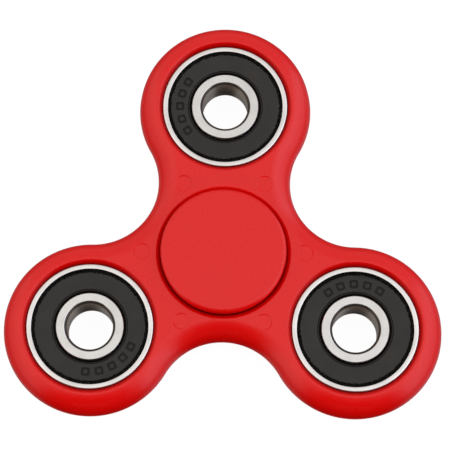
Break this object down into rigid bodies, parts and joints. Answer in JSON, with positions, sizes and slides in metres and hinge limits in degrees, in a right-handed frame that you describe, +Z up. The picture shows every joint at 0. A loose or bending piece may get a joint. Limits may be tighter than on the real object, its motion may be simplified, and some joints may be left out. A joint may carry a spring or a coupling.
{
  "type": "fidget spinner",
  "caption": "Palm-sized hand spinner: a three-lobed plastic frame with round notches, steel bearings in its lobes, turning on a centre bearing between two round finger caps.",
  "frame": {"origin": "centre of the lower finger cap's outer face, where the spin axis leaves it", "axes": "+Z up along the spin axis, +Y from the spin axis through the middle of one lobe, +X to the right of it, along the spinner's longest extent"},
  "size_m": [0.076, 0.0699, 0.0112],
  "materials": {
    "red_plastic": "moulded, satin gloss",
    "ground_steel": "fine ground, bright",
    "ball_steel": "polished",
    "black_rubber": "moulded, matt",
    "cage_nylon": "moulded, matt"
  },
  "bodies": {
    "hub": {"upper_finger_cap": "red_plastic", "lower_finger_cap": "red_plastic", "centre_bearing_inner_ring": "ground_steel"},
    "rotor": {"body_frame": "red_plastic", "centre_bearing_outer_ring": "ground_steel", "centre_bearing_upper_shield": "ground_steel", "centre_bearing_lower_shield": "ground_steel", "far_bearing_outer_ring": "ground_steel", "far_bearing_upper_seal": "black_rubber", "far_bearing_lower_seal": "black_rubber", "left_bearing_outer_ring": "ground_steel", "left_bearing_upper_seal": "black_rubber", "left_bearing_lower_seal": "black_rubber", "right_bearing_outer_ring": "ground_steel", "right_bearing_upper_seal": "black_rubber", "right_bearing_lower_seal": "black_rubber"},
    "centre_cage": {"centre_bearing_cage": "cage_nylon"},
    "centre_ball_1": {"centre_bearing_ball_1": "ball_steel"},
    "centre_ball_2": {"centre_bearing_ball_2": "ball_steel"},
    "centre_ball_3": {"centre_bearing_ball_3": "ball_steel"},
    "centre_ball_4": {"centre_bearing_ball_4": "ball_steel"},
    "centre_ball_5": {"centre_bearing_ball_5": "ball_steel"},
    "centre_ball_6": {"centre_bearing_ball_6": "ball_steel"},
    "centre_ball_7": {"centre_bearing_ball_7": "ball_steel"},
    "far_inner_ring": {"far_bearing_inner_ring": "ground_steel"},
    "far_cage": {"far_bearing_cage": "cage_nylon"},
    "far_ball_1": {"far_bearing_ball_1": "ball_steel"},
    "far_ball_2": {"far_bearing_ball_2": "ball_steel"},
    "far_ball_3": {"far_bearing_ball_3": "ball_steel"},
    "far_ball_4": {"far_bearing_ball_4": "ball_steel"},
    "far_ball_5": {"far_bearing_ball_5": "ball_steel"},
    "far_ball_6": {"far_bearing_ball_6": "ball_steel"},
    "far_ball_7": {"far_bearing_ball_7": "ball_steel"},
    "left_inner_ring": {"left_bearing_inner_ring": "ground_steel"},
    "left_cage": {"left_bearing_cage": "cage_nylon"},
    "left_ball_1": {"left_bearing_ball_1": "ball_steel"},
    "left_ball_2": {"left_bearing_ball_2": "ball_steel"},
    "left_ball_3": {"left_bearing_ball_3": "ball_steel"},
    "left_ball_4": {"left_bearing_ball_4": "ball_steel"},
    "left_ball_5": {"left_bearing_ball_5": "ball_steel"},
    "left_ball_6": {"left_bearing_ball_6": "ball_steel"},
    "left_ball_7": {"left_bearing_ball_7": "ball_steel"},
    "right_inner_ring": {"right_bearing_inner_ring": "ground_steel"},
    "right_cage": {"right_bearing_cage": "cage_nylon"},
    "right_ball_1": {"right_bearing_ball_1": "ball_steel"},
    "right_ball_2": {"right_bearing_ball_2": "ball_steel"},
    "right_ball_3": {"right_bearing_ball_3": "ball_steel"},
    "right_ball_4": {"right_bearing_ball_4": "ball_steel"},
    "right_ball_5": {"right_bearing_ball_5": "ball_steel"},
    "right_ball_6": {"right_bearing_ball_6": "ball_steel"},
    "right_ball_7": {"right_bearing_ball_7": "ball_steel"}
  },
  "joints": [
    {"name": "rotor_spin", "type": "hinge", "parent": "hub", "child": "rotor", "pos_m": [0, 0, 0.0056], "axis": [0, 0, 1], "continuous": true},
    {"name": "centre_cage_turn", "type": "hinge", "parent": "hub", "child": "centre_cage", "pos_m": [0, 0, 0.0056], "axis": [0, 0, 1], "continuous": true},
    {"name": "centre_ball_1_roll", "type": "hinge", "parent": "centre_cage", "child": "centre_ball_1", "pos_m": [0.0075, 0, 0.0056], "axis": [0, 0, 1], "continuous": true},
    {"name": "centre_ball_2_roll", "type": "hinge", "parent": "centre_cage", "child": "centre_ball_2", "pos_m": [0.00468, 0.00586, 0.0056], "axis": [0, 0, 1], "continuous": true},
    {"name": "centre_ball_3_roll", "type": "hinge", "parent": "centre_cage", "child": "centre_ball_3", "pos_m": [-0.00167, 0.00731, 0.0056], "axis": [0, 0, 1], "continuous": true},
    {"name": "centre_ball_4_roll", "type": "hinge", "parent": "centre_cage", "child": "centre_ball_4", "pos_m": [-0.00676, 0.00325, 0.0056], "axis": [0, 0, 1], "continuous": true},
    {"name": "centre_ball_5_roll", "type": "hinge", "parent": "centre_cage", "child": "centre_ball_5", "pos_m": [-0.00676, -0.00325, 0.0056], "axis": [0, 0, 1], "continuous": true},
    {"name": "centre_ball_6_roll", "type": "hinge", "parent": "centre_cage", "child": "centre_ball_6", "pos_m": [-0.00167, -0.00731, 0.0056], "axis": [0, 0, 1], "continuous": true},
    {"name": "centre_ball_7_roll", "type": "hinge", "parent": "centre_cage", "child": "centre_ball_7", "pos_m": [0.00468, -0.00586, 0.0056], "axis": [0, 0, 1], "continuous": true},
    {"name": "far_inner_ring_spin", "type": "hinge", "parent": "rotor", "child": "far_inner_ring", "pos_m": [0, 0.0265, 0.0056], "axis": [0, 0, 1], "continuous": true},
    {"name": "far_cage_turn", "type": "hinge", "parent": "rotor", "child": "far_cage", "pos_m": [0, 0.0265, 0.0056], "axis": [0, 0, 1], "continuous": true},
    {"name": "far_ball_1_roll", "type": "hinge", "parent": "far_cage", "child": "far_ball_1", "pos_m": [0.0075, 0.0265, 0.0056], "axis": [0, 0, 1], "continuous": true},
    {"name": "far_ball_2_roll", "type": "hinge", "parent": "far_cage", "child": "far_ball_2", "pos_m": [0.00468, 0.03236, 0.0056], "axis": [0, 0, 1], "continuous": true},
    {"name": "far_ball_3_roll", "type": "hinge", "parent": "far_cage", "child": "far_ball_3", "pos_m": [-0.00167, 0.03381, 0.0056], "axis": [0, 0, 1], "continuous": true},
    {"name": "far_ball_4_roll", "type": "hinge", "parent": "far_cage", "child": "far_ball_4", "pos_m": [-0.00676, 0.02975, 0.0056], "axis": [0, 0, 1], "continuous": true},
    {"name": "far_ball_5_roll", "type": "hinge", "parent": "far_cage", "child": "far_ball_5", "pos_m": [-0.00676, 0.02325, 0.0056], "axis": [0, 0, 1], "continuous": true},
    {"name": "far_ball_6_roll", "type": "hinge", "parent": "far_cage", "child": "far_ball_6", "pos_m": [-0.00167, 0.01919, 0.0056], "axis": [0, 0, 1], "continuous": true},
    {"name": "far_ball_7_roll", "type": "hinge", "parent": "far_cage", "child": "far_ball_7", "pos_m": [0.00468, 0.02064, 0.0056], "axis": [0, 0, 1], "continuous": true},
    {"name": "left_inner_ring_spin", "type": "hinge", "parent": "rotor", "child": "left_inner_ring", "pos_m": [-0.02295, -0.01325, 0.0056], "axis": [0, 0, 1], "continuous": true},
    {"name": "left_cage_turn", "type": "hinge", "parent": "rotor", "child": "left_cage", "pos_m": [-0.02295, -0.01325, 0.0056], "axis": [0, 0, 1], "continuous": true},
    {"name": "left_ball_1_roll", "type": "hinge", "parent": "left_cage", "child": "left_ball_1", "pos_m": [-0.01545, -0.01325, 0.0056], "axis": [0, 0, 1], "continuous": true},
    {"name": "left_ball_2_roll", "type": "hinge", "parent": "left_cage", "child": "left_ball_2", "pos_m": [-0.01827, -0.00739, 0.0056], "axis": [0, 0, 1], "continuous": true},
    {"name": "left_ball_3_roll", "type": "hinge", "parent": "left_cage", "child": "left_ball_3", "pos_m": [-0.02462, -0.00594, 0.0056], "axis": [0, 0, 1], "continuous": true},
    {"name": "left_ball_4_roll", "type": "hinge", "parent": "left_cage", "child": "left_ball_4", "pos_m": [-0.02971, -0.01, 0.0056], "axis": [0, 0, 1], "continuous": true},
    {"name": "left_ball_5_roll", "type": "hinge", "parent": "left_cage", "child": "left_ball_5", "pos_m": [-0.02971, -0.0165, 0.0056], "axis": [0, 0, 1], "continuous": true},
    {"name": "left_ball_6_roll", "type": "hinge", "parent": "left_cage", "child": "left_ball_6", "pos_m": [-0.02462, -0.02056, 0.0056], "axis": [0, 0, 1], "continuous": true},
    {"name": "left_ball_7_roll", "type": "hinge", "parent": "left_cage", "child": "left_ball_7", "pos_m": [-0.01827, -0.01911, 0.0056], "axis": [0, 0, 1], "continuous": true},
    {"name": "right_inner_ring_spin", "type": "hinge", "parent": "rotor", "child": "right_inner_ring", "pos_m": [0.02295, -0.01325, 0.0056], "axis": [0, 0, 1], "continuous": true},
    {"name": "right_cage_turn", "type": "hinge", "parent": "rotor", "child": "right_cage", "pos_m": [0.02295, -0.01325, 0.0056], "axis": [0, 0, 1], "continuous": true},
    {"name": "right_ball_1_roll", "type": "hinge", "parent": "right_cage", "child": "right_ball_1", "pos_m": [0.03045, -0.01325, 0.0056], "axis": [0, 0, 1], "continuous": true},
    {"name": "right_ball_2_roll", "type": "hinge", "parent": "right_cage", "child": "right_ball_2", "pos_m": [0.02763, -0.00739, 0.0056], "axis": [0, 0, 1], "continuous": true},
    {"name": "right_ball_3_roll", "type": "hinge", "parent": "right_cage", "child": "right_ball_3", "pos_m": [0.02128, -0.00594, 0.0056], "axis": [0, 0, 1], "continuous": true},
    {"name": "right_ball_4_roll", "type": "hinge", "parent": "right_cage", "child": "right_ball_4", "pos_m": [0.01619, -0.01, 0.0056], "axis": [0, 0, 1], "continuous": true},
    {"name": "right_ball_5_roll", "type": "hinge", "parent": "right_cage", "child": "right_ball_5", "pos_m": [0.01619, -0.0165, 0.0056], "axis": [0, 0, 1], "continuous": true},
    {"name": "right_ball_6_roll", "type": "hinge", "parent": "right_cage", "child": "right_ball_6", "pos_m": [0.02128, -0.02056, 0.0056], "axis": [0, 0, 1], "continuous": true},
    {"name": "right_ball_7_roll", "type": "hinge", "parent": "right_cage", "child": "right_ball_7", "pos_m": [0.02763, -0.01911, 0.0056], "axis": [0, 0, 1], "continuous": true}
  ],
  "couplings": [
    {"joint": "centre_cage_turn", "follows": "rotor_spin", "ratio": 0.63233},
    {"joint": "centre_ball_1_roll", "follows": "rotor_spin", "ratio": 1.7568},
    {"joint": "centre_ball_2_roll", "follows": "rotor_spin", "ratio": 1.7568},
    {"joint": "centre_ball_3_roll", "follows": "rotor_spin", "ratio": 1.7568},
    {"joint": "centre_ball_4_roll", "follows": "rotor_spin", "ratio": 1.7568},
    {"joint": "centre_ball_5_roll", "follows": "rotor_spin", "ratio": 1.7568},
    {"joint": "centre_ball_6_roll", "follows": "rotor_spin", "ratio": 1.7568},
    {"joint": "centre_ball_7_roll", "follows": "rotor_spin", "ratio": 1.7568},
    {"joint": "far_cage_turn", "follows": "far_inner_ring_spin", "ratio": 0.36767},
    {"joint": "far_ball_1_roll", "follows": "far_inner_ring_spin", "ratio": -1.7568},
    {"joint": "far_ball_2_roll", "follows": "far_inner_ring_spin", "ratio": -1.7568},
    {"joint": "far_ball_3_roll", "follows": "far_inner_ring_spin", "ratio": -1.7568},
    {"joint": "far_ball_4_roll", "follows": "far_inner_ring_spin", "ratio": -1.7568},
    {"joint": "far_ball_5_roll", "follows": "far_inner_ring_spin", "ratio": -1.7568},
    {"joint": "far_ball_6_roll", "follows": "far_inner_ring_spin", "ratio": -1.7568},
    {"joint": "far_ball_7_roll", "follows": "far_inner_ring_spin", "ratio": -1.7568},
    {"joint": "left_cage_turn", "follows": "left_inner_ring_spin", "ratio": 0.36767},
    {"joint": "left_ball_1_roll", "follows": "left_inner_ring_spin", "ratio": -1.7568},
    {"joint": "left_ball_2_roll", "follows": "left_inner_ring_spin", "ratio": -1.7568},
    {"joint": "left_ball_3_roll", "follows": "left_inner_ring_spin", "ratio": -1.7568},
    {"joint": "left_ball_4_roll", "follows": "left_inner_ring_spin", "ratio": -1.7568},
    {"joint": "left_ball_5_roll", "follows": "left_inner_ring_spin", "ratio": -1.7568},
    {"joint": "left_ball_6_roll", "follows": "left_inner_ring_spin", "ratio": -1.7568},
    {"joint": "left_ball_7_roll", "follows": "left_inner_ring_spin", "ratio": -1.7568},
    {"joint": "right_cage_turn", "follows": "right_inner_ring_spin", "ratio": 0.36767},
    {"joint": "right_ball_1_roll", "follows": "right_inner_ring_spin", "ratio": -1.7568},
    {"joint": "right_ball_2_roll", "follows": "right_inner_ring_spin", "ratio": -1.7568},
    {"joint": "right_ball_3_roll", "follows": "right_inner_ring_spin", "ratio": -1.7568},
    {"joint": "right_ball_4_roll", "follows": "right_inner_ring_spin", "ratio": -1.7568},
    {"joint": "right_ball_5_roll", "follows": "right_inner_ring_spin", "ratio": -1.7568},
    {"joint": "right_ball_6_roll", "follows": "right_inner_ring_spin", "ratio": -1.7568},
    {"joint": "right_ball_7_roll", "follows": "right_inner_ring_spin", "ratio": -1.7568}
  ]
}
